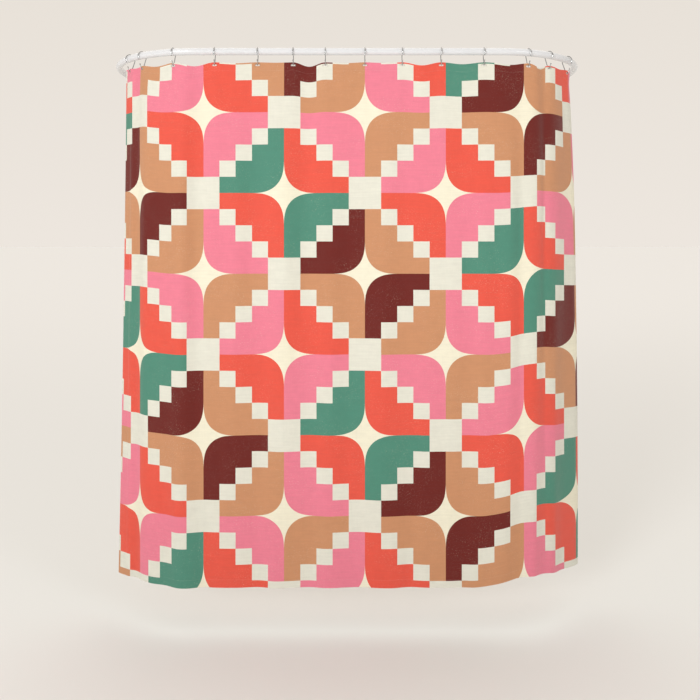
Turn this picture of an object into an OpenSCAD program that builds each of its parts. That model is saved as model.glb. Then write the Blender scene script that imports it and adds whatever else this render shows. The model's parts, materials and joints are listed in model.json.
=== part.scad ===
// Shower curtain on a U-shaped wall rail.
// A tube rail runs out from two wall flanges, round two bends and across the front. Fourteen
// open wire hooks sit on it and pass through buttonholes in the folded header of a square
// cloth, which hangs under the rail and wraps round both bends.
// +Z is up and the wall is at +Y. The origin is the bottom centre of the whole object's box,
// so the hem is at Z = 0. All sizes are in millimetres.

/* [Curtain] */
// Height of the curtain, from the header's top edge to the bottom hem
curtain_h = 1830; // [1500:10:2000]
// Thickness of the single cloth
cloth_t = 1.2; // [0.8:0.1:2]
// Thickness of the folded and stitched hems
hem_t = 2.4; // [2:0.1:3]
// Depth of the folded header that holds the buttonholes
header_h = 30; // [26:1:50]
// Depth of the bottom hem
bottom_hem_h = 30; // [15:1:60]
// Width of each side hem
side_hem_w = 12; // [8:1:14]
// Distance of the buttonholes below the header's top edge
buttonhole_drop = 12; // [11:0.5:14]
// Height of a buttonhole
buttonhole_h = 8; // [7:0.5:9]

/* [Rail] */
// Outside diameter of the rail tube
rail_d = 25; // [24:0.5:26]
// Wall of the rail tube
rail_wall = 1.5; // [1.2:0.1:2]
// Height of the rail's centre above the header's top edge
rail_above_cloth = 37.5; // [36:0.5:40]
// Radius of each bend, at the tube's centre
bend_r = 350; // [340:5:400]
// Half of the straight front, from the middle to where a bend starts
front_half = 530; // [510:5:560]
// Distance from the centre of the front tube to the wall
rail_depth = 700; // [600:10:900]
// How far before each bend the front tube is joined to the bent one
joint_before_bend = 60; // [58:1:62]

/* [Wall flanges] */
// Diameter of the round wall plate
flange_d = 70; // [66:1:90]
// Thickness of the wall plate
flange_t = 5; // [4:0.5:8]
// Outside diameter of the socket collar
collar_d = 33; // [32:0.5:36]
// Length of the socket collar, from the wall
collar_l = 32; // [28:1:40]
// Number of screw holes in the wall plate
flange_holes = 3; // [2:1:6]
// Diameter of the circle that the screw holes lie on
flange_pcd = 52; // [51:0.5:53]
// Diameter of each screw hole
flange_hole_d = 5.2; // [4:0.1:5.5]

/* [Hooks] */
// Diameter of the hook wire
wire_d = 3; // [2.5:0.1:3.2]
// Radius inside the hook's wide top arc
hook_top_r = 16.9; // [16.5:0.1:17.5]
// Gap between the top of the rail and the hook that rests on it
hook_gap = 0.35; // [0.3:0.05:0.5]
// Radius of the small loop that holds the cloth, at the wire's centre
hook_loop_r = 5.5; // [5:0.1:6]
// Length of the hook's front leg, above the small loop
front_leg_l = 13; // [10:0.5:14]
// Diameter of the round beads that close both ends of the wire
bead_d = 4.8; // [4:0.1:5]
// Sideways play of a middle hook, each way
hook_play = 4; // [2:0.5:4]

/* [Hidden] */
$fn = 64;
// Places along the rail's centre line, from the middle of the front. Minus is to the left.
// Past front_half the distance runs on round the bend.
HOOK_AT = [-814, -741, -606, -460, -310, -186, -74, 64, 194, 330, 479, 639, 730, 848];
LEFT_EDGE_AT = -845;
RIGHT_EDGE_AT = 872;
// Where the cloth that stays still meets the cloth that gathers when an edge is drawn
LEFT_FOLD_AT = -480;
RIGHT_FOLD_AT = 500;
// Length of the cutter that makes a buttonhole, through the cloth
SLOT_DEPTH = 20;

rail_r = rail_d / 2;
rail_bore_r = rail_r - rail_wall;
rail_z = curtain_h + rail_above_cloth;
wire_r = wire_d / 2;
top_arc_r = hook_top_r + wire_r;
hook_reach = hook_top_r + wire_d;
front_y = -(rail_depth - hook_reach) / 2;
wall_y = front_y + rail_depth;
bend_y = front_y + bend_r;
side_x = front_half + bend_r;
joint_x = front_half - joint_before_bend;

// A buttonhole leaves the wire its play each way and a little room at both ends
buttonhole_l = wire_d + 2 * (hook_play + 2.5);

joiner_d = 2 * rail_bore_r - 0.1;
joiner_bore_d = joiner_d - 4;
joiner_l = 110;
joiner_screw_offset = 28;
set_screw_d = 4;
set_screw_clearance = 0.1;
joiner_screw_l = 5;
hex_key_d = 2.3;
hex_key_depth = 1.5;

socket_floor = 4;
socket_clearance = 0.2;
tube_end_gap = 0.5;
tube_end_y = wall_y - socket_floor - tube_end_gap;
flange_screw_from_wall = 22;
flange_screw_l = 5;
flange_screw_tip_gap = 0.1;
flange_fillet = 4;
countersink_d = 9.6;
countersink_depth = 2.2;

// The hook is drawn in its own plane: X points away from the shower and Z up, from the rail's centre
top_arc_z = rail_r + hook_gap - hook_top_r;
hook_wire_above_slot = buttonhole_h / 2 - wire_r - 0.4;
loop_z = -rail_above_cloth - buttonhole_drop + hook_wire_above_slot + hook_loop_r;
leg_lean = asin((top_arc_r - hook_loop_r) / (top_arc_z - loop_z));
leg_l = (top_arc_z - loop_z) * cos(leg_lean);
front_end_l = 4;
// Where a straight wire meets a bend, a ball a little thicker than the wire joins them
bend_swell = 0.12;
bend_gap = 0.1;

// Signed angle round a bend at a place along the rail, 0 on the straight front
function bend_angle(s) = sign(s) * max(0, abs(s) - front_half) / bend_r * 180 / PI;

// Puts children at a place along the rail, at height z, with their +X pointing out of the shower
module at_place(s, z) {
    straight = sign(s) * min(abs(s), front_half);
    a = bend_angle(s);
    translate([straight, bend_y, z])
        rotate([0, 0, a - 90])
            translate([bend_r, 0, 0])
                children();
}

// ---- Rail ----

module tube_ring() {
    difference() {
        circle(r = rail_r);
        circle(r = rail_bore_r);
    }
}

// A straight piece of tube along +X from the origin
module straight_tube(l) {
    rotate([90, 0, 90])
        linear_extrude(l)
            tube_ring();
}

// Two radial set screw holes up through the tube's underside, either side of the joint
module joiner_screw_places(x) {
    for (side = [-1, 1])
        translate([x + side * joiner_screw_offset, front_y, rail_z])
            children();
}

module joiner_screw_holes(x) {
    hole_d = set_screw_d + set_screw_clearance;
    joiner_screw_places(x)
        translate([0, 0, -rail_r - 1])
            cylinder(d = hole_d, h = rail_r - 2);
}

module rail_front() {
    color("white")
        difference() {
            translate([-joint_x, front_y, rail_z])
                straight_tube(2 * joint_x);
            joiner_screw_holes(-joint_x);
            joiner_screw_holes(joint_x);
        }
}

// The right-hand bent tube: a short straight, a quarter bend and the straight back to the wall
module bent_rail() {
    difference() {
        union() {
            translate([joint_x, front_y, rail_z])
                straight_tube(joint_before_bend);
            translate([front_half, bend_y, rail_z])
                rotate([0, 0, -90])
                    rotate_extrude(angle = 90)
                        translate([bend_r, 0])
                            tube_ring();
            translate([side_x, bend_y, rail_z])
                rotate([0, 0, 90])
                    straight_tube(tube_end_y - bend_y);
        }
        joiner_screw_holes(joint_x);
    }
}

module rail_left() {
    color("white")
        mirror([1, 0, 0])
            bent_rail();
}

module rail_right() {
    color("white")
        bent_rail();
}

// A sleeve inside the tube where the front and bent tubes meet
module joiner(x) {
    color("silver")
        difference() {
            translate([x - joiner_l / 2, front_y, rail_z])
                rotate([0, 90, 0])
                    difference() {
                        cylinder(d = joiner_d, h = joiner_l);
                        translate([0, 0, -1])
                            cylinder(d = joiner_bore_d, h = joiner_l + 2);
                    }
            joiner_screw_holes(x);
        }
}

module joiner_left() {
    joiner(-joint_x);
}

module joiner_right() {
    joiner(joint_x);
}

// A set screw that points up, with its hexagon socket at the bottom
module set_screw(l) {
    difference() {
        cylinder(d = set_screw_d, h = l);
        translate([0, 0, -1])
            cylinder(d = hex_key_d, h = hex_key_depth + 1, $fn = 6);
    }
}

module joiner_screws(x) {
    color("gray")
        joiner_screw_places(x)
            translate([0, 0, -rail_r + 0.2])
                set_screw(joiner_screw_l);
}

module joiner_screws_left() {
    joiner_screws(-joint_x);
}

module joiner_screws_right() {
    joiner_screws(joint_x);
}

// ---- Wall flanges ----

// Outline of half the flange, turned about the tube's axis: wall plate, coved corner and collar
module flange_outline() {
    collar_r = collar_d / 2;
    difference() {
        union() {
            square([flange_d / 2 - 1, flange_t]);
            square([flange_d / 2, flange_t - 1]);
            translate([flange_d / 2 - 1, flange_t - 1])
                circle(r = 1);
            square([collar_r, collar_l]);
            square([collar_r + flange_fillet, flange_t + flange_fillet]);
        }
        translate([collar_r + flange_fillet, flange_t + flange_fillet])
            circle(r = flange_fillet);
    }
}

// A flange stands on the wall with its collar towards the room
module wall_flange(x) {
    bore_d = rail_d + socket_clearance;
    hole_d = set_screw_d + set_screw_clearance;
    color("white")
        translate([x, wall_y, rail_z])
            rotate([90, 0, 0])
                difference() {
                    rotate_extrude()
                        flange_outline();
                    translate([0, 0, socket_floor])
                        cylinder(d = bore_d, h = collar_l);
                    for (i = [0 : flange_holes - 1])
                        rotate([0, 0, 90 + i * 360 / flange_holes])
                            translate([flange_pcd / 2, 0, 0]) {
                                translate([0, 0, -1])
                                    cylinder(d = flange_hole_d, h = flange_t + 2);
                                translate([0, 0, flange_t - countersink_depth])
                                    cylinder(d1 = flange_hole_d, d2 = countersink_d, h = countersink_depth);
                            }
                    translate([0, 0, flange_screw_from_wall])
                        rotate([90, 0, 0])
                            cylinder(d = hole_d, h = collar_d);
                }
}

module wall_flange_left() {
    wall_flange(-side_x);
}

module wall_flange_right() {
    wall_flange(side_x);
}

// The set screw in the underside of a collar, which holds the tube's end
module flange_screw(x) {
    tip_r = rail_r + flange_screw_tip_gap;
    color("gray")
        translate([x, wall_y - flange_screw_from_wall, rail_z - tip_r - flange_screw_l])
            set_screw(flange_screw_l);
}

module flange_screw_left() {
    flange_screw(-side_x);
}

module flange_screw_right() {
    flange_screw(side_x);
}

// ---- Hooks ----

// A round wire bent in the hook's plane, about (0, z), from angle a0 over the angle sweep
module wire_arc(r, z, a0, sweep) {
    translate([0, 0, z])
        rotate([90, 0, 0])
            rotate([0, 0, a0])
                rotate_extrude(angle = sweep)
                    translate([r, 0])
                        circle(r = wire_r);
}

// A straight stretch of wire along +Z between two bends, with a round end that joins it to the bend
module straight_wire(l) {
    sphere(r = wire_r + bend_swell);
    translate([0, 0, bend_gap])
        cylinder(r = wire_r, h = l - bend_gap);
}

// The back leg, from the small loop up to the top arc
module back_leg() {
    translate([-hook_loop_r * cos(leg_lean), 0, loop_z - hook_loop_r * sin(leg_lean)])
        rotate([0, -leg_lean, 0]) {
            straight_wire(leg_l - bend_gap);
            translate([0, 0, leg_l])
                sphere(r = wire_r + bend_swell);
        }
}

// The front leg, from the small loop up to its bead
module front_leg() {
    translate([hook_loop_r * cos(leg_lean), 0, loop_z - hook_loop_r * sin(leg_lean)])
        rotate([0, leg_lean, 0]) {
            straight_wire(front_leg_l);
            translate([0, 0, front_leg_l])
                sphere(d = bead_d);
        }
}

// The front end of the top arc, which runs on down for a little way to its bead
module front_end() {
    translate([top_arc_r * cos(leg_lean), 0, top_arc_z - top_arc_r * sin(leg_lean)])
        rotate([0, 180 + leg_lean, 0]) {
            straight_wire(front_end_l);
            translate([0, 0, front_end_l])
                sphere(d = bead_d);
        }
}

module wire_hook() {
    $fn = 28;
    wire_arc(top_arc_r, top_arc_z, -leg_lean, 180 + 2 * leg_lean);
    wire_arc(hook_loop_r, loop_z, 180 + leg_lean, 180 - 2 * leg_lean);
    back_leg();
    front_leg();
    front_end();
}

module hook(i) {
    color("lightgray")
        at_place(HOOK_AT[i], rail_z)
            wire_hook();
}

// ---- Cloth ----

// An upright band of cloth that starts on the straight front and may run on round the right bend
module right_band(s0, s1, z0, h, t) {
    straight_end = min(s1, front_half);
    if (straight_end > s0)
        translate([s0, front_y - t / 2, z0])
            cube([straight_end - s0, t, h]);
    if (s1 > front_half)
        translate([front_half, bend_y, z0])
            rotate([0, 0, bend_angle(s0) - 90])
                rotate_extrude(angle = bend_angle(s1) - bend_angle(s0))
                    translate([bend_r - t / 2, 0])
                        square([t, h]);
}

// An upright band of cloth that follows the rail from place s0 to place s1, s0 < s1
module band(s0, s1, z0, h, t) {
    if (s0 + s1 < 0)
        mirror([1, 0, 0])
            right_band(-s1, -s0, z0, h, t);
    else
        right_band(s0, s1, z0, h, t);
}

// The long hole of a buttonhole, through the cloth along X
module buttonhole() {
    straight = buttonhole_l - buttonhole_h;
    rotate([0, 90, 0])
        translate([0, 0, -SLOT_DEPTH / 2]) {
            for (side = [-1, 1])
                translate([0, side * straight / 2, 0])
                    cylinder(d = buttonhole_h, h = SLOT_DEPTH);
            translate([-buttonhole_h / 2, -straight / 2, 0])
                cube([buttonhole_h, straight, SLOT_DEPTH]);
        }
}

module header(s0, s1) {
    color("lightpink")
        difference() {
            band(s0, s1, curtain_h - header_h, header_h, hem_t);
            for (s = HOOK_AT)
                if (s > s0 && s < s1)
                    at_place(s, curtain_h - buttonhole_drop)
                        buttonhole();
        }
}

module panel(s0, s1) {
    color("pink")
        band(s0, s1, bottom_hem_h, curtain_h - bottom_hem_h - header_h, cloth_t);
}

module bottom_hem(s0, s1) {
    color("lightpink")
        band(s0, s1, 0, bottom_hem_h, hem_t);
}

module side_hem(s0, s1) {
    color("hotpink")
        band(s0, s1, 0, curtain_h, hem_t);
}

left_hem_end = LEFT_EDGE_AT + side_hem_w;
right_hem_start = RIGHT_EDGE_AT - side_hem_w;

module curtain_front() {
    panel(LEFT_FOLD_AT, RIGHT_FOLD_AT);
}

module curtain_left() {
    panel(left_hem_end, LEFT_FOLD_AT);
}

module curtain_right() {
    panel(RIGHT_FOLD_AT, right_hem_start);
}

module header_front() {
    header(LEFT_FOLD_AT, RIGHT_FOLD_AT);
}

module header_left() {
    header(left_hem_end, LEFT_FOLD_AT);
}

module header_right() {
    header(RIGHT_FOLD_AT, right_hem_start);
}

module bottom_hem_front() {
    bottom_hem(LEFT_FOLD_AT, RIGHT_FOLD_AT);
}

module bottom_hem_left() {
    bottom_hem(left_hem_end, LEFT_FOLD_AT);
}

module bottom_hem_right() {
    bottom_hem(RIGHT_FOLD_AT, right_hem_start);
}

module side_hem_left() {
    side_hem(LEFT_EDGE_AT, left_hem_end);
}

module side_hem_right() {
    side_hem(right_hem_start, RIGHT_EDGE_AT);
}

rail_front();
rail_left();
rail_right();
joiner_left();
joiner_right();
joiner_screws_left();
joiner_screws_right();
wall_flange_left();
wall_flange_right();
flange_screw_left();
flange_screw_right();
hook(0);  // hook_01
hook(1);  // hook_02
hook(2);  // hook_03
hook(3);  // hook_04
hook(4);  // hook_05
hook(5);  // hook_06
hook(6);  // hook_07
hook(7);  // hook_08
hook(8);  // hook_09
hook(9);  // hook_10
hook(10);  // hook_11
hook(11);  // hook_12
hook(12);  // hook_13
hook(13);  // hook_14
curtain_front();
curtain_left();
curtain_right();
header_front();
header_left();
header_right();
bottom_hem_front();
bottom_hem_left();
bottom_hem_right();
side_hem_left();
side_hem_right();
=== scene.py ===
"""The looks of a printed shower curtain on a U-shaped rail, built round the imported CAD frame.

The cloth is one surface, given by flat distance f along its width and flat height h, both in
metres. f is 0 at the middle of the front and minus to the left; h is 0 at the bottom hem.
"""

import json
import math

import bpy
import numpy as np
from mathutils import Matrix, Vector


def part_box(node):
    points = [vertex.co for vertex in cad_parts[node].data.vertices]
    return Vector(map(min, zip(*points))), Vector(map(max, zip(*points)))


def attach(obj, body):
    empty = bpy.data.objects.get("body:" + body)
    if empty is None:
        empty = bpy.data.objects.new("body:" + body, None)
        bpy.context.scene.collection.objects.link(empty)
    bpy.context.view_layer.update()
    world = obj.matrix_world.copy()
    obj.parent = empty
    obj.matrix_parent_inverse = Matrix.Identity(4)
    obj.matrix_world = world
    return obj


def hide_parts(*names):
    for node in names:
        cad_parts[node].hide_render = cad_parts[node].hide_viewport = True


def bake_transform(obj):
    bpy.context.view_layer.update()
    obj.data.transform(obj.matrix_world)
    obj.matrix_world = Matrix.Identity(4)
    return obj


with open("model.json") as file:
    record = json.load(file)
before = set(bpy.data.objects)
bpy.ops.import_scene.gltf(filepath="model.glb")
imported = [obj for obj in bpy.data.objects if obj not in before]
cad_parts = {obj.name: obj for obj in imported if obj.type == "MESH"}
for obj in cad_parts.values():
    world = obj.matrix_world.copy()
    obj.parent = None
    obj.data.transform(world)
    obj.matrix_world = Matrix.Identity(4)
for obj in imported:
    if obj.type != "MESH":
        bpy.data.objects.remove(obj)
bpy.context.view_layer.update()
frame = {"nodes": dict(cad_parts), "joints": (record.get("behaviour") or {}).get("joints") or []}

# ---- Measures from the frame ----

HOOKS = [f"hook_{i:02d}" for i in range(1, 15)]
# One of the hooks on the straight front, which stands square to the frame's axes
FRONT_HOOK = "hook_05"
JOINTS = {joint["name"]: joint for joint in frame["joints"]}
BEND_X, BEND_Y = JOINTS["right_edge_draw"]["pos_m"][:2]

rail_low, rail_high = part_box("rail_front")
RAIL_Z = (rail_low.z + rail_high.z) / 2
FRONT_Y = (rail_low.y + rail_high.y) / 2
BEND_R = BEND_Y - FRONT_Y

header_low, header_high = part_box("header_front")
CLOTH_TOP = header_high.z
HEADER_LINE = header_low.z
BOTTOM_HEM_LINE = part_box("bottom_hem_front")[1].z
LEFT_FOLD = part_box("curtain_left")[1].x
RIGHT_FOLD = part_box("curtain_right")[0].x


def rail_place(x, y):
    """Distance along the rail's centre line, from the middle of the front, of a plan point on it."""
    if abs(x) <= BEND_X:
        return x
    return math.copysign(BEND_X + BEND_R * math.atan2(abs(x) - BEND_X, BEND_Y - y), x)


def hook_place(name):
    """Distance along the rail of a hook."""
    low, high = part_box(name)
    return rail_place((low.x + high.x) / 2, (low.y + high.y) / 2)


def cloth_edge(node, side):
    """Distance along the rail of the outer edge of a side hem."""
    low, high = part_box(node)
    x, y = (low.x if side < 0 else high.x), high.y
    return rail_place(x, y)


HOOK_AT = [hook_place(name) for name in HOOKS]
LEFT_EDGE = cloth_edge("side_hem_left", -1)
RIGHT_EDGE = cloth_edge("side_hem_right", 1)

# ---- How the cloth hangs ----

CUT = 1.83
LEFT_FLAT = -0.905
RIGHT_FLAT = LEFT_FLAT + CUT
CLOTH_T = 0.0005
HEM_T = 0.0006
HEM_GAP = 0.0001
# How far the back of a hem is from the middle of the cloth
HEM_BACK = CLOTH_T / 2 + HEM_GAP + HEM_T
SIDE_HEM_W = 0.011
# Distance between the points that a normal is worked out from, to each side
NORMAL_STEP = 0.0005

# Values named AT are (start, length) of a soft step: a flat distance from the middle of the front
# and how far on the step is over. Values named DROP are shares of the cloth's height below its
# top edge, and values named DEPTH are metres below it.

# Slack is the cloth's length beyond the rail's, which lies in the folds round each bend
LEFT_SLACK_FROM = 0.60
RIGHT_SLACK_FROM = 0.57
LEFT_SLACK_POWER = 1.3
# How far each side's free edge opens out along the rail, from the header down to the hem
LEFT_OPENING = 0.008
RIGHT_OPENING = 0.040
# Where the opening starts, in shares of the slack stretch, and how far down the right side is open
OPENING_AT = (0.6, 0.4)
RIGHT_OPENING_DROP = 0.35
# How far each free edge flares out from the rail's line at the hem
LEFT_FLARE = 0.027
LEFT_FLARE_AT = (0.79, 0.125)
RIGHT_FLARE = 0.020
RIGHT_FLARE_AT = (0.83, 0.105)
RIGHT_FLARE_DROP = 0.9
# How far the right edge turns in below its hook, and where that starts and fades on the way down
EDGE_CURL = 0.006
EDGE_CURL_AT = (0.885, 0.035)
EDGE_CURL_START_DROP = 0.03
EDGE_CURL_FADE_DROP = 0.08
# How far the cloth stands out left of the front, and hollows beside it
LEFT_BULGE = 0.007
LEFT_BULGE_AT = (0.52, 0.12)
LEFT_BULGE_END_AT = (0.74, 0.1)
LEFT_BULGE_DROP = 0.08
LEFT_TROUGH = 0.007
LEFT_TROUGH_MIDDLE = -0.70
LEFT_TROUGH_WIDTH = 0.07
# How far each side's print and hem are drawn up round the bend
LEFT_RAISE = 0.015
LEFT_RAISE_AT = (0.60, 0.18)
RIGHT_RAISE = 0.030
RIGHT_RAISE_FROM = 0.52
RIGHT_RAISE_LENGTH = 0.2
# How much nearer the middle the right side's rise starts at the hem
RIGHT_RAISE_SPREAD = 0.09
# The share of it that is lost again towards the right edge
RIGHT_RAISE_LOSS = 0.8
RIGHT_RAISE_LOSS_AT = (0.68, 0.30)
RAISE_DEPTH = 0.07
# Sag of the top edge between each two hooks, left to right
SAG = [0.004, 0.009, 0.014, 0.003, 0.0015, 0.014, 0.003, 0.002, 0.012, 0.006, 0.008, 0.013, 0.005]
SAG_DEPTH = 0.11
# How far a span bellies out, as a share of its sag; every second one goes in, by less
BELLY = 0.55
BELLY_IN = 0.8
BELLY_DEPTH = 0.35
# Height of the folds between each two hooks, left to right, which show round the bends
BEND_FOLDS = [0.003, 0.0032] + 9 * [0.006] + [0.0045, 0.003]
BEND_FOLDS_AT = (0.42, 0.14)
BEND_FOLDS_LOSS = 0.35
BEND_FOLDS_DEPTH = 0.5
# Height and half width of the ridge below each hook, and how fast it widens
RIDGE = 0.0016
RIDGE_WIDTH = 0.013
RIDGE_SPREAD = 0.05
RIDGE_START_DEPTH = 0.03
RIDGE_FADE_DEPTH = 0.3
# Soft upright folds across the front: where the middle one stands, how far they spread to each
# side, the distance from one to the next, their height, and how far they drift down the cloth
SOFT_FOLDS = [
    (-0.242, 0.17, 0.18, 0.0090, 0.02),
    (0.150, 0.16, 0.20, 0.0060, -0.03),
    (0.450, 0.10, 0.14, 0.0036, 0.03),
    (-0.560, 0.08, 0.13, 0.0034, -0.02),
]
# Their height swells and shrinks by this share, and near the top they have only this share of it
SOFT_FOLD_SWELL = 0.2
SOFT_FOLD_TOP = 0.35
SOFT_FOLD_START_DEPTH = 0.05
SOFT_FOLD_FULL_DEPTH = 0.5
# Height of the small ripples between them, and the distance from one to the next
RIPPLE = 0.0011
RIPPLE_APART = 0.097


def smooth(t):
    """0 before t = 0, 1 after t = 1, and a soft step between."""
    t = np.clip(t, 0, 1)
    return t * t * (3 - 2 * t)


def step_at(value, place):
    """A soft step from 0 to 1 as value passes place, a start and a length."""
    start, length = place
    return smooth((value - start) / length)


def along_rail(f, drop):
    """Distance along the rail of flat distance f; drop is 0 at the top edge and 1 at the hem."""
    left = np.clip((-f - LEFT_SLACK_FROM) / (-LEFT_FLAT - LEFT_SLACK_FROM), 0, 1)
    right = np.clip((f - RIGHT_SLACK_FROM) / (RIGHT_FLAT - RIGHT_SLACK_FROM), 0, 1)
    left_slack = LEFT_EDGE - LEFT_FLAT
    right_slack = RIGHT_FLAT - RIGHT_EDGE
    left_opening = LEFT_OPENING * step_at(left, OPENING_AT) * drop
    right_opening = RIGHT_OPENING * step_at(right, OPENING_AT)
    right_opening = right_opening * smooth(drop / RIGHT_OPENING_DROP) ** 0.5
    s = f + left_slack * left**LEFT_SLACK_POWER - left_opening
    return s - right_slack * smooth(right) + right_opening


# The flat distance of each hook, read back from a fine table of along_rail at the top edge
TABLE_SIZE = 4001
flat_table = np.linspace(LEFT_FLAT, RIGHT_FLAT, TABLE_SIZE)
HOOK_FLAT = np.interp(HOOK_AT, along_rail(flat_table, 0.0), flat_table)


def hook_span(f):
    """For each f, the number of the span between two hooks it is in and the share of it, 0 to 1."""
    span = np.clip(np.searchsorted(HOOK_FLAT, f) - 1, 0, len(HOOK_FLAT) - 2)
    share = (f - HOOK_FLAT[span]) / (HOOK_FLAT[span + 1] - HOOK_FLAT[span])
    return span, np.clip(share, 0, 1)


def sag_of(f):
    """How far the top edge sags at f."""
    span, share = hook_span(f)
    return np.array(SAG)[span] * np.sin(math.pi * share) ** 2


def bend_folds(f, below):
    """Between two hooks round a bend the slack makes one fold out and one in.

    Lower down each fold leans a little to one side, by another amount in each span.
    """
    drop = below / CLOTH_TOP
    span, share = hook_span(f)
    wave = 2 * math.pi * share
    upper = np.sin(wave) * (1 - BEND_FOLDS_LOSS * drop)
    lower = np.sin(wave + 1.1 * np.sin(2.2 * drop + span) * np.sin(wave / 2) ** 2)
    settled = smooth(below / BEND_FOLDS_DEPTH)
    return np.array(BEND_FOLDS)[span] * (upper + (lower - upper) * settled)


def belly(f, below):
    """Across the front a span that sags bellies a little, and flattens on the way down."""
    span, share = hook_span(f)
    height = np.array(SAG)[span] * BELLY * np.sin(math.pi * share) ** 2
    return height * np.exp(-below / BELLY_DEPTH) * np.where(span % 2 == 0, 1, -BELLY_IN)


def hook_ridges(f, below):
    """A soft ridge runs down from each hook and widens."""
    width = RIDGE_WIDTH + RIDGE_SPREAD * below
    ridges = sum(np.exp(-(((f - at) / width) ** 2)) for at in HOOK_FLAT)
    return RIDGE * ridges * np.exp(-below / RIDGE_FADE_DEPTH) * smooth(below / RIDGE_START_DEPTH)


def soft_folds(f, below):
    """Long upright folds over the whole height."""
    drop = below / CLOTH_TOP
    height = 0
    for at, spread, apart, tall, drift in SOFT_FOLDS:
        away = f - at - drift * np.sin(2.6 * drop)
        swell = 1 - SOFT_FOLD_SWELL + SOFT_FOLD_SWELL * np.cos(5.5 * drop + 9 * at)
        wave = np.cos(2 * math.pi * away / apart)
        height = height + tall * swell * wave * np.exp(-((away / spread) ** 2))
    ripples = np.sin(2 * math.pi * f / RIPPLE_APART + 4 + 2 * drop) * np.sin(3 * drop + 7 * f)
    growth = SOFT_FOLD_TOP + (1 - SOFT_FOLD_TOP) * smooth(below / SOFT_FOLD_FULL_DEPTH)
    return (height + RIPPLE * ripples) * growth * smooth(below / SOFT_FOLD_START_DEPTH)


def edge_flare(f, drop):
    """How far the cloth stands out towards each free edge, most at the hem."""
    left = LEFT_FLARE * step_at(-f, LEFT_FLARE_AT) * drop**1.5
    right = RIGHT_FLARE * step_at(f, RIGHT_FLARE_AT) * smooth(drop / RIGHT_FLARE_DROP) ** 0.7
    trough = np.exp(-(((f - LEFT_TROUGH_MIDDLE) / LEFT_TROUGH_WIDTH) ** 2))
    trough = -LEFT_TROUGH * trough * drop**2
    curl = -EDGE_CURL * step_at(f, EDGE_CURL_AT) * np.exp(-drop / EDGE_CURL_FADE_DROP)
    curl = curl * smooth(drop / EDGE_CURL_START_DROP)
    bulge = LEFT_BULGE * step_at(-f, LEFT_BULGE_AT) * (1 - step_at(-f, LEFT_BULGE_END_AT))
    return left + right + trough + curl + bulge * smooth(drop / LEFT_BULGE_DROP)


def fold_depth(f, h):
    """How far the cloth stands out of the rail's line, towards the room."""
    below = CLOTH_TOP - h
    round_bend = step_at(np.abs(f), BEND_FOLDS_AT)
    across = bend_folds(f, below) * round_bend + belly(f, below) * (1 - round_bend)
    drop = np.clip(below / CLOTH_TOP, 0, 1)
    return across + hook_ridges(f, below) + soft_folds(f, below) + edge_flare(f, drop)


def raise_of(f, h):
    """How far the cloth is drawn up round the bends."""
    drop = np.clip(1 - h / CLOTH_TOP, 0, 1)
    start = RIGHT_RAISE_FROM - RIGHT_RAISE_SPREAD * drop**2
    right = RIGHT_RAISE * smooth((f - start) / RIGHT_RAISE_LENGTH) * (1 - (1 - drop) ** 1.5)
    right = right * (1 - RIGHT_RAISE_LOSS * step_at(f, RIGHT_RAISE_LOSS_AT))
    left = LEFT_RAISE * step_at(-f, LEFT_RAISE_AT) * (1 - drop)
    return (left + right) * smooth((CLOTH_TOP - h) / RAISE_DEPTH)


def surface(f, h):
    """Points of the cloth's middle surface, as an array with one row for each f and h."""
    f, h = np.broadcast_arrays(np.asarray(f, float), np.asarray(h, float))
    below = CLOTH_TOP - h
    s = along_rail(f, below / CLOTH_TOP)
    angle = np.sign(s) * np.maximum(0, np.abs(s) - BEND_X) / BEND_R
    out = fold_depth(f, h)
    x = np.clip(s, -BEND_X, BEND_X) + (BEND_R + out) * np.sin(angle)
    y = BEND_Y - (BEND_R + out) * np.cos(angle)
    z = h - sag_of(f) * np.exp(-below / SAG_DEPTH) + raise_of(f, h)
    return np.stack([x, y, z], axis=-1)


def surface_normal(f, h):
    """Unit normals of the cloth, towards the room."""
    across = surface(f + NORMAL_STEP, h) - surface(f - NORMAL_STEP, h)
    up = surface(f, h + NORMAL_STEP) - surface(f, h - NORMAL_STEP)
    normal = np.cross(across, up)
    return normal / np.linalg.norm(normal, axis=-1, keepdims=True)


# ---- Meshes ----

# A line nearer to an extra one than this share of the step is dropped
NEAREST_LINES = 0.3


def new_mesh(name, points, faces, materials, face_material=None, uv=None, sharp_angle=50):
    """A smooth-shaded mesh object, with edges sharper than sharp_angle degrees left crisp."""
    mesh = bpy.data.meshes.new(name)
    mesh.from_pydata([tuple(p) for p in points], [], faces)
    for material in materials:
        mesh.materials.append(material)
    if face_material is not None:
        mesh.polygons.foreach_set("material_index", np.array(face_material, np.int32))
    if uv is not None:
        loops = np.zeros(len(mesh.loops), np.int32)
        mesh.loops.foreach_get("vertex_index", loops)
        layer = mesh.uv_layers.new(name="cloth")
        layer.data.foreach_set("uv", np.asarray(uv, np.float32)[loops].ravel())
    mesh.polygons.foreach_set("use_smooth", np.ones(len(mesh.polygons), bool))
    mesh.set_sharp_from_angle(angle=math.radians(sharp_angle))
    mesh.validate()
    obj = bpy.data.objects.new(name, mesh)
    bpy.context.scene.collection.objects.link(obj)
    return obj


def lines(start, end, step, extra=()):
    """Evenly spaced values from start to end, with the extra ones put in and near neighbours dropped."""
    even = np.linspace(start, end, max(2, round(abs(end - start) / step) + 1))
    low, high = min(start, end), max(start, end)
    extra = [e for e in extra if low < e < high]
    clear = NEAREST_LINES * step
    kept = [v for v in even if all(abs(v - e) > clear for e in extra) or v in (start, end)]
    return np.array(sorted(set(kept) | set(extra)))


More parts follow.
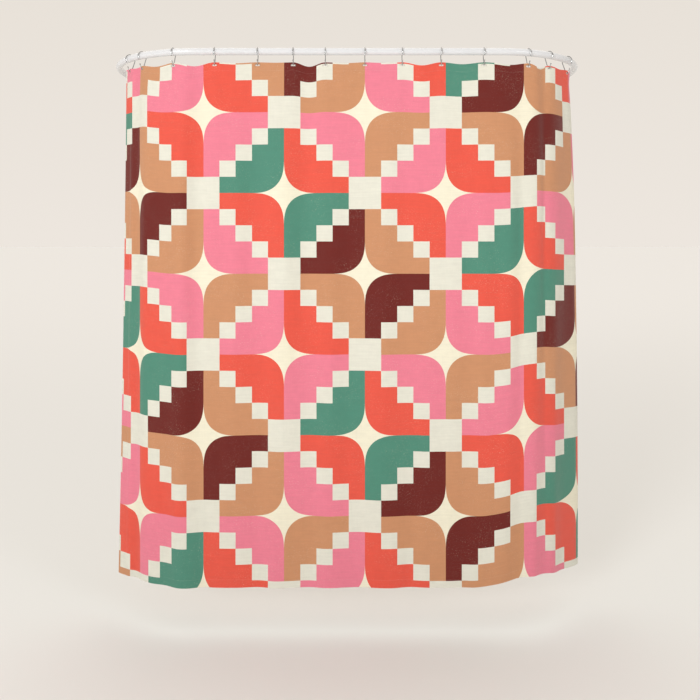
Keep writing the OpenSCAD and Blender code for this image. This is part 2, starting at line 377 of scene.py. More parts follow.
def cells_with_cloth(f_lines, h_lines, holes):
    """True for each cell between the lines, apart from those whose middle is in a hole."""
    f_mid = (f_lines[1:] + f_lines[:-1]) / 2
    h_mid = (h_lines[1:] + h_lines[:-1]) / 2
    kept = np.ones((len(f_mid), len(h_mid)), bool)
    for f0, f1, h0, h1 in holes:
        kept &= ~np.outer((f_mid > f0) & (f_mid < f1), (h_mid > h0) & (h_mid < h1))
    return kept


def slab_faces(kept, rows, count):
    """Both faces of each kept cell, and an edge face at each side where no kept cell follows.

    The points at the back come count places after those at the front. The back's faces have
    material 1, and all others have material 0.
    """
    neighbours = np.pad(kept, 1)
    faces, face_material = [], []
    for i, j in np.argwhere(kept).tolist():
        corners = [i * rows + j, (i + 1) * rows + j, (i + 1) * rows + j + 1, i * rows + j + 1]
        faces.append(corners)
        faces.append([c + count for c in reversed(corners)])
        face_material += [0, 1]
        for k, (di, dj) in enumerate(((0, -1), (1, 0), (0, 1), (-1, 0))):
            if not neighbours[i + 1 + di, j + 1 + dj]:
                a, b = corners[k], corners[(k + 1) % 4]
                faces.append([b, a, a + count, b + count])
                face_material.append(0)
    return faces, face_material


def slab(name, f_lines, h_lines, front, back, materials, holes=(), mirror_print=False):
    """A closed sheet between the offsets front and back from the cloth's middle surface.

    Each of holes is (f0, f1, h0, h1), on lines of the sheet, and is left open.
    """
    f, h = np.meshgrid(f_lines, h_lines, indexing="ij")
    middle, normal = surface(f, h), surface_normal(f, h)
    points = np.concatenate([
        (middle + normal * front).reshape(-1, 3), (middle + normal * back).reshape(-1, 3)
    ])
    print_h = 2 * CLOTH_TOP - h if mirror_print else h
    uv = np.stack([f, print_h], axis=-1).reshape(-1, 2)
    uv = np.concatenate([uv, uv])
    kept = cells_with_cloth(f_lines, h_lines, holes)
    faces, face_material = slab_faces(kept, len(h_lines), f.size)
    return new_mesh(name, points, faces, materials, face_material, uv)


def sweep(path, radii, sides, across, closed=False):
    """Points and faces of a round tube along path. across gives one direction square to it."""
    path, radii = np.asarray(path, float), np.asarray(radii, float)
    ahead = np.roll(path, -1, axis=0) - np.roll(path, 1, axis=0)
    if not closed:
        ahead[0], ahead[-1] = path[1] - path[0], path[-1] - path[-2]
    ahead /= np.linalg.norm(ahead, axis=1, keepdims=True)
    across = np.broadcast_to(np.asarray(across, float), path.shape)
    side = np.cross(ahead, across)
    side /= np.linalg.norm(side, axis=1, keepdims=True)
    other = np.cross(side, ahead)
    turn = np.linspace(0, 2 * math.pi, sides, endpoint=False)
    ring = side[:, None] * np.cos(turn)[None, :, None] + other[:, None] * np.sin(turn)[None, :, None]
    points = (path[:, None] + ring * radii[:, None, None]).reshape(-1, 3)
    faces = []
    rings = len(path)
    for i in range(rings if closed else rings - 1):
        a, b = i * sides, (i + 1) % rings * sides
        for k in range(sides):
            n = (k + 1) % sides
            faces.append([a + k, b + k, b + n, a + n])
    if not closed:
        faces.append(list(range(sides)))
        faces.append([(rings - 1) * sides + k for k in reversed(range(sides))])
    return points, faces


def joined(parts):
    """The points, faces and places on the cloth of several meshes as one."""
    points, faces, uv, count = [], [], [], 0
    for part_points, part_faces, part_uv in parts:
        points.append(part_points)
        faces += [[v + count for v in face] for face in part_faces]
        uv.append(part_uv)
        count += len(part_points)
    return np.concatenate(points), faces, np.concatenate(uv)


# ---- Materials ----


class Nodes:
    """Short calls for building a material's node tree. A value may be a number or a socket."""

    def __init__(self, name):
        self.material = bpy.data.materials.new(name)
        self.material.use_nodes = True
        self.tree = self.material.node_tree
        self.shader = self.tree.nodes["Principled BSDF"]

    def node(self, kind, inputs=None, **settings):
        """A new node with its settings, and its inputs as values by name or number."""
        made = self.tree.nodes.new(kind)
        for key, value in settings.items():
            setattr(made, key, value)
        for key, value in (inputs or {}).items():
            self.put(made.inputs[key], value)
        return made

    def put(self, socket, value):
        """Links value to the socket if it is a socket too, or else sets it."""
        if isinstance(value, bpy.types.NodeSocket):
            self.tree.links.new(value, socket)
        else:
            socket.default_value = value

    def math(self, operation, *values):
        """The result of an operation on values."""
        made = self.tree.nodes.new("ShaderNodeMath")
        made.operation = operation
        for socket, value in zip(made.inputs, values):
            self.put(socket, value)
        return made.outputs[0]

    def mix(self, share, a, b, blend_type="MIX"):
        """Colour a where share is 0, and the blend of a and b where it is 1."""
        made = self.tree.nodes.new("ShaderNodeMix")
        made.data_type = "RGBA"
        made.blend_type = blend_type
        for index, value in ((0, share), (6, a), (7, b)):
            self.put(made.inputs[index], value)
        return made.outputs[2]

    def span(self, value, low, high, to_low, to_high):
        """Goes from to_low to to_high as value goes from low to high, and stays between them."""
        made = self.node("ShaderNodeMapRange", {"Value": value})
        for key, number in (
            ("From Min", low), ("From Max", high), ("To Min", to_low), ("To Max", to_high)
        ):
            made.inputs[key].default_value = number
        return made.outputs[0]

    def noise(self, vector, scale, detail, roughness=0.5):
        """Soft noise round 0.5, with scale features to a unit of vector."""
        made = self.node("ShaderNodeTexNoise", {"Vector": vector})
        made.inputs["Scale"].default_value = scale
        made.inputs["Detail"].default_value = detail
        made.inputs["Roughness"].default_value = roughness
        return made.outputs["Fac"]

    def stretched(self, vector, scale):
        """The vector times scale, axis by axis."""
        return self.node("ShaderNodeMapping", {"Vector": vector, "Scale": scale}).outputs[0]

    def bump(self, height, distance, strength):
        """Raises the surface's shading by height, where 1 stands for distance in metres."""
        made = self.node("ShaderNodeBump", {"Height": height})
        made.inputs["Distance"].default_value = distance
        made.inputs["Strength"].default_value = strength
        self.put(self.shader.inputs["Normal"], made.outputs[0])

    def set(self, **values):
        """Sets or links the surface's own inputs, by name."""
        for key, value in values.items():
            self.put(self.shader.inputs[key.replace("_", " ")], value)


def colour(red, green, blue):
    """A screen colour, 0 to 255, as the linear colour that nodes take."""
    def linear(value):
        """One of its three channels."""
        value /= 255
        return value / 12.92 if value <= 0.04045 else ((value + 0.055) / 1.055) ** 2.4
    return (linear(red), linear(green), linear(blue), 1.0)


PINK = colour(225, 123, 143)
RED = colour(221, 84, 67)
TAN = colour(194, 138, 100)
BROWN = colour(103, 27, 20)
GREEN = colour(75, 133, 114)
SQUARE_CREAM = colour(218, 217, 204)
STAR_CREAM = colour(231, 226, 204)

# The print: squares of one size on a lattice of cells, five squares to a cell
PRINT_SQUARE = CUT / 32.5
PRINT_CELL = 5
STAR_REACH = 2.1
STAR_POWER = 2.7
# A star stands at this flat distance, and the first row of stars this far below the top edge
PRINT_F = 0.064
PRINT_BELOW = 3.08 * PRINT_SQUARE
# Whole cells added so that the lattice's numbers stay above 0
PRINT_SHIFT_F = 14
PRINT_SHIFT_H = 12
# The star colours of even and of odd cells, in their order, and a nudge off a step's edge
EVEN_PETALS = [PINK, TAN, BROWN, GREEN]
ODD_PETALS = [RED, PINK, TAN, RED]
ORDER_NUDGE = 0.01

THREAD_PITCH = 0.0011
# How far the print fades on the cloth's back
BACK_FADE = 0.62
BACK_TONE = colour(238, 232, 220)
PAINT_CLEAN = colour(220, 221, 224)
PAINT_DUSTY = colour(214, 216, 219)
PAINT_WORN = colour(172, 172, 172)
# The tone of tarnished metal, as a share of its clean tone
TARNISH = 0.78


def step_ramp(nodes, value, colours):
    """Picks one of the colours in equal steps as value goes from 0 to 1."""
    made = nodes.node("ShaderNodeValToRGB", {"Fac": value})
    ramp = made.color_ramp
    ramp.interpolation = "CONSTANT"
    while len(ramp.elements) < len(colours):
        ramp.elements.new(1.0)
    for index, tone in enumerate(colours):
        ramp.elements[index].position = index / len(colours)
        ramp.elements[index].color = tone
    return made.outputs["Color"]


def print_cell(nodes, uv):
    """The column and row of a place's cell, its x and y there, and 1 if the cell is an odd one.

    x and y are counted in squares. An even cell is the mirror image of an odd one.
    """
    m = nodes.math
    split = nodes.node("ShaderNodeSeparateXYZ", {"Vector": uv})
    across = m("DIVIDE", m("SUBTRACT", split.outputs[0], PRINT_F), PRINT_SQUARE)
    across = m("ADD", across, PRINT_CELL * PRINT_SHIFT_F)
    down = m("DIVIDE", m("SUBTRACT", CLOTH_TOP - PRINT_BELOW, split.outputs[1]), PRINT_SQUARE)
    down = m("ADD", down, PRINT_CELL * PRINT_SHIFT_H)
    column = m("FLOOR", m("DIVIDE", across, PRINT_CELL))
    row = m("FLOOR", m("DIVIDE", down, PRINT_CELL))
    x = m("SUBTRACT", across, m("MULTIPLY", column, PRINT_CELL))
    y = m("SUBTRACT", down, m("MULTIPLY", row, PRINT_CELL))
    odd = m("MODULO", m("ADD", column, row), 2.0)
    even = m("SUBTRACT", 1.0, odd)
    x = m("ADD", x, m("MULTIPLY", even, m("SUBTRACT", PRINT_CELL, m("MULTIPLY", x, 2.0))))
    return column, row, x, y, odd


def star_shape(nodes, x, y, upper):
    """1 on the four-pointed star at the outer corner of a petal. upper is 1 above the diagonal."""
    m = nodes.math

    def from_star(value):
        """Distance to the star along one axis."""
        other = m("SUBTRACT", PRINT_CELL, value)
        return m("ADD", value, m("MULTIPLY", upper, m("SUBTRACT", other, value)))

    def corner(distance):
        """What one axis adds to the star's rounded outline, from 1 at its middle to 0."""
        inside = m("MAXIMUM", 0.0, m("SUBTRACT", 1.0, m("DIVIDE", distance, STAR_REACH)))
        return m("POWER", inside, STAR_POWER)

    star_x = from_star(x)
    star_y = from_star(m("SUBTRACT", PRINT_CELL, y))
    return m("GREATER_THAN", m("ADD", corner(star_x), corner(star_y)), 1.0)


def petal_colour(nodes, column, row, upper, odd):
    """The colour of the star that a petal belongs to. The colours come in a fixed order."""
    m = nodes.math
    star_column = m("ADD", column, m("SUBTRACT", 1.0, m("ABSOLUTE", m("SUBTRACT", upper, odd))))
    star_row = m("ADD", row, m("SUBTRACT", 1.0, upper))
    order = m("MULTIPLY", m("ADD", star_column, star_row), 0.5)
    order = m("ADD", order, m("MULTIPLY", 2.0, m("MODULO", star_row, 2.0)))
    count = float(len(EVEN_PETALS))
    order = m("MODULO", m("ADD", order, ORDER_NUDGE), count)
    order = m("DIVIDE", m("ADD", order, 0.5), count)
    order = m("SUBTRACT", order, ORDER_NUDGE / count)
    even_petals = step_ramp(nodes, order, EVEN_PETALS)
    odd_petals = step_ramp(nodes, order, ODD_PETALS)
    return nodes.mix(odd, even_petals, odd_petals)


def print_colour(nodes, uv):
    """A plain geometric repeat: rounded petals round four-pointed stars, and stepped squares.

    Cells alternate. In each, a stepped diagonal of squares parts two petals, each of which
    belongs to the star at its outer corner.
    """
    column, row, x, y, odd = print_cell(nodes, uv)
    on_step = nodes.math("COMPARE", nodes.math("FLOOR", x), nodes.math("FLOOR", y), 0.5)
    upper = nodes.math("GREATER_THAN", x, y)
    on_star = star_shape(nodes, x, y, upper)
    petals = petal_colour(nodes, column, row, upper, odd)
    return nodes.mix(on_step, nodes.mix(on_star, petals, STAR_CREAM), SQUARE_CREAM)


def weave_height(nodes, uv):
    """Threads over and under each other, with slubs along both ways of the cloth."""
    thread = 2 * math.pi / THREAD_PITCH
    split = nodes.node("ShaderNodeSeparateXYZ", {"Vector": uv})
    warp = nodes.math("SINE", nodes.math("MULTIPLY", split.outputs[0], thread))
    weft = nodes.math("SINE", nodes.math("MULTIPLY", split.outputs[1], thread))
    over = nodes.math("MULTIPLY", warp, weft)
    slub_across = nodes.noise(nodes.stretched(uv, (12, 420, 1)), 1.0, 3.0)
    slub_up = nodes.noise(nodes.stretched(uv, (420, 12, 1)), 1.0, 3.0)
    slubs = nodes.math("ADD", slub_across, slub_up)
    return nodes.math("ADD", nodes.math("MULTIPLY", over, 0.25), slubs)


def cloth_material(name, reverse=False):
    """Woven polyester. Its print is full on the face and pale where it shows through the back."""
    nodes = Nodes(name)
    uv = nodes.node("ShaderNodeUVMap", uv_map="cloth").outputs[0]
    base = print_colour(nodes, uv)
    # Pinholes where the ink missed the thread, in loose patches
    specks = nodes.span(nodes.noise(uv, 330.0, 2.0), 0.63, 0.72, 0.0, 0.5)
    patches = nodes.span(nodes.noise(uv, 7.0, 3.0), 0.42, 0.62, 0.1, 1.0)
    base = nodes.mix(nodes.math("MULTIPLY", specks, patches), base, STAR_CREAM)
    mottle = nodes.noise(uv, 38.0, 6.0, 0.65)
    streaks = nodes.noise(nodes.stretched(uv, (14, 160, 1)), 1.0, 4.0)
    tone = nodes.span(nodes.math("ADD", mottle, streaks), 0.6, 1.4, 0.93, 1.05)
    base = nodes.mix(1.0, base, tone, "MULTIPLY")
    height = weave_height(nodes, uv)
    threads = nodes.span(height, 0.5, 1.5, 0.97, 1.03)
    base = nodes.mix(1.0, base, threads, "MULTIPLY")
    if reverse:
        base = nodes.mix(BACK_FADE, base, BACK_TONE)
    nodes.set(Base_Color=base)
    nodes.set(Roughness=nodes.span(streaks, 0.3, 0.7, 0.68, 0.82))
    nodes.set(Sheen_Weight=0.18, Sheen_Roughness=0.45)
    nodes.set(Specular_IOR_Level=0.3)
    nodes.bump(height, 0.0002, 0.6)
    return nodes.material


def thread_material():
    """Twisted sewing thread that was printed with the cloth, a little paler than it."""
    nodes = Nodes("sewing_thread")
    uv = nodes.node("ShaderNodeUVMap", uv_map="cloth").outputs[0]
    place = nodes.node("ShaderNodeTexCoord").outputs["Object"]
    twist = nodes.noise(nodes.stretched(place, (900, 900, 900)), 1.0, 2.0)
    base = nodes.mix(nodes.span(twist, 0.3, 0.7, 0.1, 0.35), print_colour(nodes, uv), SQUARE_CREAM)
    nodes.set(Base_Color=base, Roughness=nodes.span(twist, 0.3, 0.7, 0.5, 0.7))
    nodes.set(Sheen_Weight=0.2)
    nodes.bump(twist, 0.0001, 0.5)
    return nodes.material


def painted_metal(name):
    """Glossy white powder coat, with a faint orange peel and hair scratches along the top."""
    nodes = Nodes(name)
    place = nodes.node("ShaderNodeTexCoord").outputs["Object"]
    peel = nodes.noise(nodes.stretched(place, (260, 260, 260)), 1.0, 3.0)
    dust = nodes.noise(nodes.stretched(place, (9, 9, 9)), 1.0, 5.0, 0.6)
    scratches = nodes.noise(nodes.stretched(place, (30, 900, 900)), 1.0, 4.0, 0.7)
    worn = nodes.span(scratches, 0.62, 0.72, 0.0, 1.0)
    facing = nodes.node("ShaderNodeNewGeometry").outputs["Normal"]
    up = nodes.node("ShaderNodeSeparateXYZ", {"Vector": facing}).outputs[2]
    worn = nodes.math("MULTIPLY", worn, nodes.span(up, 0.55, 0.95, 0.0, 0.35))
    dusty = nodes.span(dust, 0.35, 0.7, 0.0, 1.0)
    clean = nodes.mix(dusty, PAINT_CLEAN, PAINT_DUSTY)
    nodes.set(Base_Color=nodes.mix(worn, clean, PAINT_WORN))
    rough = nodes.span(dust, 0.3, 0.7, 0.2, 0.32)
    nodes.set(Roughness=nodes.math("ADD", rough, nodes.math("MULTIPLY", worn, 0.4)))
    nodes.set(Coat_Weight=0.4, Coat_Roughness=0.08)
    nodes.bump(peel, 0.0001, 0.07)
    return nodes.material


def metal(name, base, roughness, grain=(500, 500, 500)):
    """Bare metal with fine marks that change its tone and roughness."""
    nodes = Nodes(name)
    place = nodes.node("ShaderNodeTexCoord").outputs["Object"]
    marks = nodes.noise(nodes.stretched(place, grain), 1.0, 4.0, 0.6)
    tarnish = nodes.noise(nodes.stretched(place, (60, 60, 60)), 1.0, 3.0)
    dark = tuple(value * TARNISH for value in base[:3]) + (1.0,)
    nodes.set(Base_Color=nodes.mix(nodes.span(tarnish, 0.35, 0.7, 0.0, 1.0), base, dark))
    nodes.set(Metallic=1.0)
    nodes.set(Roughness=nodes.span(marks, 0.3, 0.7, roughness * 0.7, roughness * 1.4))
    nodes.bump(marks, 0.0001, 0.25)
    return nodes.material


FACE = cloth_material("printed_cloth")
REVERSE = cloth_material("cloth_reverse", reverse=True)
THREAD = thread_material()
PAINT = painted_metal("white_powder_coat")
CHROME = metal("chrome_wire", colour(188, 189, 190), 0.16)
STEEL = metal("set_screw_steel", colour(140, 140, 142), 0.32)
ALUMINIUM = metal("mill_aluminium", colour(200, 201, 203), 0.38, (40, 700, 700))

# ---- CAD nodes that keep their shape ----

# Edges sharper than this, in degrees, stay crisp
CAD_SHARP = 32


def dress(names, material):
    """Gives CAD nodes a material and smooth shading between their crisp edges."""
    for name in names:
        obj = frame["nodes"][name]
        obj.data.materials.clear()
        obj.data.materials.append(material)
        obj.data.polygons.foreach_set("use_smooth", np.ones(len(obj.data.polygons), bool))
        obj.data.set_sharp_from_angle(angle=math.radians(CAD_SHARP))


dress(["rail_front", "rail_left", "rail_right", "wall_flange_left", "wall_flange_right"], PAINT)
dress(["joiner_left", "joiner_right"], ALUMINIUM)
dress(["joiner_screws_left", "joiner_screws_right", "flange_screw_left", "flange_screw_right"], STEEL)

# ---- Hooks ----

WIRE_R = 0.0015
BEAD_R = 0.0024
# Angle on the bead, from its outer end, where the wire runs into it
BEAD_NECK = 0.22 * math.pi
LOOP_R = 0.0055
# Length of the straight leg up from the loop, and of the wire's free end at the front of the rail
FRONT_LEG = 0.013
FRONT_END = 0.004
WIRE_SIDES = 14
# Points along the wire's bend over the rail and round its loop, and rings on a bead
TOP_POINTS = 49
LOOP_POINTS = 17
BEAD_RINGS = 9
BEAD_TIP_R = 0.00001
# Edges sharper than this, in degrees, stay crisp on wire and thread
WIRE_SHARP = 80


def bead_ends(path, radii):
    """Ends the wire in round beads: the last points are spread over a ball, closed to a tip."""
    polar = np.linspace(BEAD_NECK, math.pi, BEAD_RINGS)
    for end in (0, -1):
        tip = path[end]
        away = tip - path[1 if end == 0 else -2]
        away = away / np.linalg.norm(away)
        ball = [tip - away * BEAD_R * math.cos(a) for a in polar]
        ball_radii = [max(BEAD_R * math.sin(a), BEAD_TIP_R) for a in polar]
        if end == 0:
            path, radii = np.array(ball[::-1] + list(path[1:])), ball_radii[::-1] + list(radii[1:])
        else:
            path, radii = np.array(list(path[:-1]) + ball), list(radii[:-1]) + ball_radii
    return path, radii


def hook_outline():
    """The wire's line in the hook's plane: out of the shower, and up from the rail's centre."""
    low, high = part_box(FRONT_HOOK)
    top_r = (high.y - low.y) / 2 - WIRE_R
    top_up = high.z - WIRE_R - top_r - RAIL_Z
    loop_up = low.z + WIRE_R + LOOP_R - RAIL_Z
    lean = math.asin((top_r - LOOP_R) / (top_up - loop_up))

    def arc(radius, up, start, end, count):
        """Points of an arc round the hook's middle line, at the height up."""
        return [
            (radius * math.cos(a), up + radius * math.sin(a)) for a in np.linspace(start, end, count)
        ]

    def beyond(point, direction, length):
        """The point that lies length from point in a direction."""
        return (point[0] + direction[0] * length, point[1] + direction[1] * length)

    top = arc(top_r, top_up, -lean, math.pi + lean, TOP_POINTS)
    loop = arc(LOOP_R, loop_up, math.pi + lean, 2 * math.pi - lean, LOOP_POINTS)
    front_end = beyond(top[0], (-math.sin(lean), -math.cos(lean)), FRONT_END)
    along_leg = (math.sin(lean), math.cos(lean))
    leg = [beyond(loop[-1], along_leg, FRONT_LEG * share) for share in (0.35, 0.7, 1)]
    return [front_end] + top + loop + leg


def wire_hook(name):
    """A bent wire over the rail, in the plane square to the rail at the hook's place."""
    s = hook_place(name)
    angle = math.copysign(max(0, abs(s) - BEND_X) / BEND_R, s)
    straight = max(-BEND_X, min(BEND_X, s))
    centre = np.array([straight + BEND_R * math.sin(angle), BEND_Y - BEND_R * math.cos(angle), RAIL_Z])
    out = np.array([math.sin(angle), -math.cos(angle), 0])
    along = np.array([math.cos(angle), math.sin(angle), 0])
    path = np.array([centre + out * u + np.array([0, 0, v]) for u, v in hook_outline()])
    path, radii = bead_ends(path, [WIRE_R] * len(path))
    points, faces = sweep(path, radii, WIRE_SIDES, along)
    obj = new_mesh("wire_" + name, points, faces, [CHROME], sharp_angle=WIRE_SHARP)
    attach(obj, name)
    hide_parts(name)


for name in HOOKS:
    wire_hook(name)

# ---- Cloth ----

COLUMN_STEP = 0.008
ROW_STEP = 0.010
WIRE_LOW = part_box(FRONT_HOOK)[0].z
# Half the width of a buttonhole, and how far it reaches below and above the wire. The ones round
# the bends are larger, because the cloth is drawn up there and gathers.
FRONT_HOLE = (0.0075, 0.0014, 0.0013)
BEND_HOLE = (0.0085, 0.0024, 0.0019)
STITCH = 0.0028
STITCH_PITCH = 0.0036
STITCH_R = 0.00024
STITCH_SIDES = 5
# A stitch is thinner at its ends, which go into the cloth, and its middle is above the cloth.
# Its straight part is a share of its length.
STITCH_END_R = STITCH_R * 0.5
STITCH_SINK = 0.0002
STITCH_LIFT = STITCH_R * 0.6
STITCH_FLAT = 0.6
# Distance of a stitch line from the hem's inner edge
SEAM_INSET = 0.0022
# A buttonhole's border: how far outside the hole its middle runs, its thread's size and ridges
BORDER_OUT = 0.0006
BORDER_R = 0.0011
BORDER_RIDGE = 0.00022
BORDER_POINTS = 64
BORDER_SIDES = 8


def buttonhole(f):
    """The left, right, low and high side of the buttonhole at f on the flat cloth."""
    half, below, above = FRONT_HOLE if LEFT_FOLD < f < RIGHT_FOLD else BEND_HOLE
    return f - half, f + half, WIRE_LOW - below, WIRE_LOW + 2 * WIRE_R + above


class Half:
    """One half of the curtain, from its middle to one edge."""

    def __init__(self, side):
        self.side = side
        self.sign = -1 if side == "left" else 1
        self.edge = LEFT_FLAT if side == "left" else RIGHT_FLAT
        self.hem_line = self.edge - self.sign * SIDE_HEM_W
        self.hook = HOOKS[0] if side == "left" else HOOKS[-1]
        low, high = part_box(self.hook)
        fold = LEFT_FOLD if side == "left" else RIGHT_FOLD
        self.start = (fold, FRONT_Y, RAIL_Z)
        self.end = ((low.x + high.x) / 2, (low.y + high.y) / 2, RAIL_Z)
        self.holes = [buttonhole(f) for f in HOOK_FLAT if f * self.sign > 0]

    def columns(self, start=0.0):
        """Lines up the cloth from start to its edge, with three at each buttonhole."""
        extra = [self.hem_line]
        for f0, f1, _, _ in self.holes:
            extra += [f0, (f0 + f1) / 2, f1]
        return lines(min(start, self.edge), max(start, self.edge), COLUMN_STEP, extra)

    def rows(self, low, high):
        """Lines across the cloth, with one at each hem and each buttonhole's low and high side."""
        extra = [BOTTOM_HEM_LINE, HEADER_LINE]
        for _, _, h0, h1 in self.holes:
            extra += [h0, h1]
        return lines(low, high, ROW_STEP, extra)

    def finish(self, obj, slot_name, *nodes):
        """Bakes the piece's placement into its points, and hides the CAD nodes that it stands for."""
        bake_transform(obj)
        if nodes:
            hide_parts(*nodes)
        return obj

    def name(self, piece):
        """A piece's full name."""
        return f"{piece}_{self.side}_half"

    def panel(self):
        """The single cloth, from its middle to the free edge."""
        obj = slab(
            self.name("curtain"), self.columns(), self.rows(0, CLOTH_TOP),
            CLOTH_T / 2, -CLOTH_T / 2, [FACE, REVERSE], self.holes,
        )
        return self.finish(obj, "cloth", "curtain_front", "curtain_" + self.side)

    def folded_band(self, piece, columns, rows, holes=(), mirror_print=False):
        """A hem's folded layer, on the back of the cloth, which shows the print's face."""
        front = -CLOTH_T / 2 - HEM_GAP
        return slab(
            self.name(piece), columns, rows, front, front - HEM_T, [FACE, FACE], holes, mirror_print
        )

    def header(self):
        """The folded top edge, with the print upside down on its layer."""
        obj = self.folded_band(
            "header", self.columns(), self.rows(HEADER_LINE, CLOTH_TOP), self.holes, True
        )
        return self.finish(obj, "hem", "header_front", "header_" + self.side)

    def bottom_hem(self):
        """The folded bottom edge."""
        obj = self.folded_band("bottom_hem", self.columns(), self.rows(0, BOTTOM_HEM_LINE))
        return self.finish(obj, "hem", "bottom_hem_front", "bottom_hem_" + self.side)

    def side_hem(self):
        """The folded free edge, between the header and the bottom hem."""
        obj = self.folded_band(
            "side_hem", self.columns(self.hem_line), self.rows(BOTTOM_HEM_LINE, HEADER_LINE)
        )
        return self.finish(obj, "hem", "side_hem_" + self.side)

    def stitch_row(self, f0, h0, f1, h1):
        """Running stitches along one straight line of the flat cloth, on its face and its back."""
        length = math.hypot(f1 - f0, h1 - h0)
        count = int(length / STITCH_PITCH)
        middle = (np.arange(count) + 0.5) / count
        reach = STITCH / 2 / length
        parts = []
        shares = (-1, -STITCH_FLAT, STITCH_FLAT, 1)
        ends = np.stack([middle + share * reach for share in shares], 1)
        f, h = f0 + (f1 - f0) * ends, h0 + (h1 - h0) * ends
        centre, normal = surface(f, h), surface_normal(f, h)
        lift = np.array([-STITCH_SINK, STITCH_LIFT, STITCH_LIFT, -STITCH_SINK])[None, :, None]
        radii = [STITCH_END_R, STITCH_R, STITCH_R, STITCH_END_R]
        for way, offset in ((1, CLOTH_T / 2), (-1, HEM_BACK)):
            paths = centre + normal * way * (offset + lift)
            for path, across, uv in zip(paths, normal[:, 0], np.stack([f, h], axis=-1)):
                points, faces = sweep(path, radii, STITCH_SIDES, across)
                parts.append((points, faces, np.repeat(uv, STITCH_SIDES, axis=0)))
        return parts

    def sewn(self, piece, parts):
        """Sewing thread, as one piece."""
        points, faces, uv = joined(parts)
        obj = new_mesh(self.name(piece), points, faces, [THREAD], uv=uv, sharp_angle=WIRE_SHARP)
        return self.finish(obj, "hem")

    def stitching(self):
        """The stitch lines of the header, the bottom hem and the side hem."""
        header, bottom = HEADER_LINE + SEAM_INSET, BOTTOM_HEM_LINE - SEAM_INSET
        side_line = self.hem_line + self.sign * SEAM_INSET
        parts = self.stitch_row(0, header, self.edge, header)
        parts += self.stitch_row(0, bottom, self.edge, bottom)
        parts += self.stitch_row(side_line, bottom, side_line, header)
        return self.sewn("hem_stitching", parts)

    def buttonhole_stitching(self):
        """A raised satin border round each buttonhole, on the face and the back."""
        parts = []
        turn = np.linspace(0, 2 * math.pi, BORDER_POINTS, endpoint=False)
        radii = BORDER_R + BORDER_RIDGE * np.cos(np.arange(BORDER_POINTS) * math.pi)
        for f0, f1, h0, h1 in self.holes:
            middle_f, middle_h = (f0 + f1) / 2, (h0 + h1) / 2
            half_h = (h1 - h0) / 2
            straight = (f1 - f0) / 2 - half_h + BORDER_OUT
            border = half_h + BORDER_OUT
            f = middle_f + border * np.cos(turn) + np.sign(np.cos(turn)) * straight
            h = middle_h + border * np.sin(turn)
            centre, normal = surface(f, h), surface_normal(f, h)
            uv = np.repeat(np.stack([f, h], axis=-1), BORDER_SIDES, axis=0)
            for way, offset in ((1, CLOTH_T / 2), (-1, HEM_BACK)):
                path = centre + normal * way * offset
                points, faces = sweep(path, radii, BORDER_SIDES, normal, closed=True)
                parts.append((points, faces, uv))
        return self.sewn("buttonhole_stitching", parts)

    def build(self):
        """The cloth and all that is sewn on it."""
        panel = self.panel()
        extras = [
            self.header(), self.bottom_hem(), self.side_hem(),
            self.stitching(), self.buttonhole_stitching(),
        ]


for side in ("left", "right"):
    Half(side).build()

# ---- Camera, floor and light ----

CAMERA_X = 0.012
CAMERA_DISTANCE = 2.7
CAMERA_Z = 1.232
# Sensor and focal length in millimetres, and the lens's downward shift as a share of the sensor
SENSOR = 36.0
LENS = 39.857143
LENS_SHIFT = 0.165714286
# How far the camera sees, in metres
VIEW_REACH = 200
FLOOR_Z = -0.15
FLOOR_HALF = 80
# The floor's tone under the curtain and far away, and how fast it changes, per metre
FLOOR_NEAR = colour(219, 221, 220)
FLOOR_FAR = colour(247, 248, 249)
FLOOR_FADE = 0.25
# The backdrop's tone at the horizon, and from this height up. Straight overhead is a height of 1.
BACKDROP_LOW = colour(237, 230, 222)
BACKDROP_HIGH = colour(232, 225, 216)
BACKDROP_HEIGHT = 0.29
# Brightness of the room behind the camera and of the softbox overhead, as shares of the backdrop's,
# and where each fades into the backdrop, on the same scale of 1, to the back and up
ROOM = 0.45
ROOM_FADE = (-0.6, 0.6)
SOFTBOX = 2.15
SOFTBOX_FADE = (0.45, 0.95)
# Angle over which the two softboxes' grids let light through
GRID = 80


def make_camera():
    """A camera that looks level at the curtain, with its lens shifted down."""
    data = bpy.data.cameras.new("camera")
    data.sensor_width = SENSOR
    data.lens = LENS
    data.shift_y = -LENS_SHIFT
    data.clip_end = VIEW_REACH
    camera = bpy.data.objects.new("camera", data)
    camera.location = (CAMERA_X, FRONT_Y - CAMERA_DISTANCE, CAMERA_Z)
    camera.rotation_euler = (math.pi / 2, 0, 0)
    bpy.context.scene.collection.objects.link(camera)
    bpy.context.scene.camera = camera


def make_floor():
    """A wide pale floor that takes the backdrop's own tone far away."""
    nodes = Nodes("studio_floor")
    place = nodes.node("ShaderNodeTexCoord").outputs["Object"]
    far = nodes.node("ShaderNodeVectorMath", {0: place}, operation="LENGTH").outputs["Value"]
    nearness = nodes.math("EXPONENT", nodes.math("MULTIPLY", far, -FLOOR_FADE))
    nodes.set(Base_Color=nodes.mix(nearness, FLOOR_FAR, FLOOR_NEAR))
    nodes.set(Roughness=0.9, Specular_IOR_Level=0.0)
    signs = ((-1, -1), (1, -1), (1, 1), (-1, 1))
    corners = [(x * FLOOR_HALF, y * FLOOR_HALF, FLOOR_Z) for x, y in signs]
    floor = new_mesh("floor", corners, [[0, 1, 2, 3]], [nodes.material])


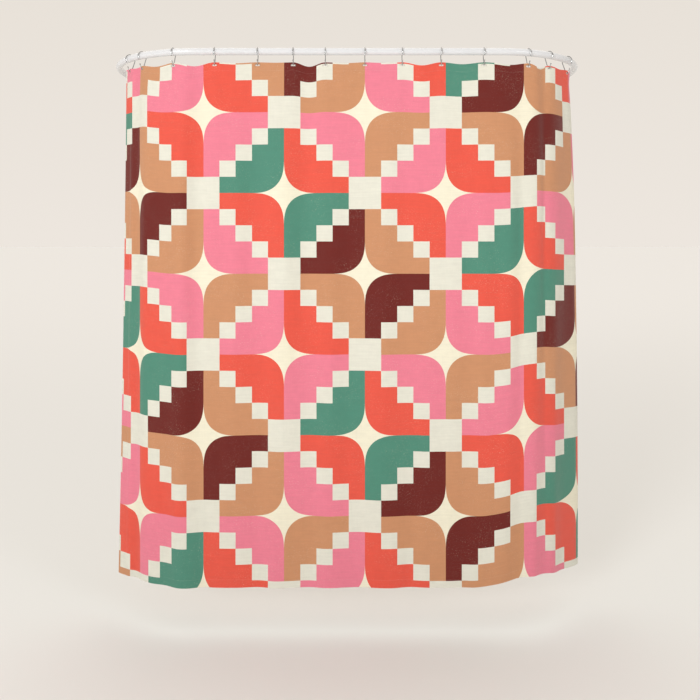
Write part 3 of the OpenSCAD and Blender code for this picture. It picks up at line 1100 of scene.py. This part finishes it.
def soft_change(tree, source, over, to_low, to_high):
    """Goes softly from to_low to to_high as source goes over its range."""
    made = tree.nodes.new("ShaderNodeMapRange")
    made.interpolation_type = "SMOOTHSTEP"
    for key, number in zip(("From Min", "From Max", "To Min", "To Max"), (*over, to_low, to_high)):
        made.inputs[key].default_value = number
    tree.links.new(source, made.inputs["Value"])
    return made.outputs[0]


def make_world():
    """A warm pale backdrop, with a wide softbox overhead and a dimmer room behind the camera."""
    world = bpy.data.worlds.new("studio")
    bpy.context.scene.world = world
    world.use_nodes = True
    tree = world.node_tree
    background = tree.nodes["Background"]
    place = tree.nodes.new("ShaderNodeTexCoord")
    split = tree.nodes.new("ShaderNodeSeparateXYZ")
    tree.links.new(place.outputs["Generated"], split.inputs[0])

    ramp = tree.nodes.new("ShaderNodeValToRGB")
    ramp.color_ramp.elements[0].color = BACKDROP_LOW
    ramp.color_ramp.elements[1].color = BACKDROP_HIGH
    ramp.color_ramp.elements[1].position = BACKDROP_HEIGHT
    tree.links.new(split.outputs[2], ramp.inputs[0])
    tree.links.new(ramp.outputs[0], background.inputs[0])

    strength = tree.nodes.new("ShaderNodeMath")
    strength.operation = "MULTIPLY"
    room = soft_change(tree, split.outputs[1], ROOM_FADE, ROOM, 1.0)
    tree.links.new(room, strength.inputs[0])
    softbox = soft_change(tree, split.outputs[2], SOFTBOX_FADE, 1.0, SOFTBOX)
    tree.links.new(softbox, strength.inputs[1])
    tree.links.new(strength.outputs[0], background.inputs[1])


def make_light(name, place, target, size, power):
    """A round softbox with a grid, which keeps its light off the floor beneath it."""
    data = bpy.data.lights.new(name, "AREA")
    data.shape = "DISK"
    data.size = size
    data.energy = power
    data.spread = math.radians(GRID)
    light = bpy.data.objects.new(name, data)
    light.location = place
    ahead = np.array(target) - np.array(place)
    light.rotation_euler = Vector(ahead).to_track_quat("-Z", "Y").to_euler()
    bpy.context.scene.collection.objects.link(light)


make_camera()
make_floor()
make_world()
make_light(
    "key", place=(-3.4, FRONT_Y - 5.9, 2.5), target=(0, FRONT_Y, 1.55), size=2.4, power=53.9
)
make_light(
    "fill", place=(3.2, FRONT_Y - 3.2, 2.2), target=(0.2, FRONT_Y, 1.3), size=1.6, power=8
)
bpy.context.scene.view_settings.view_transform = "Standard"
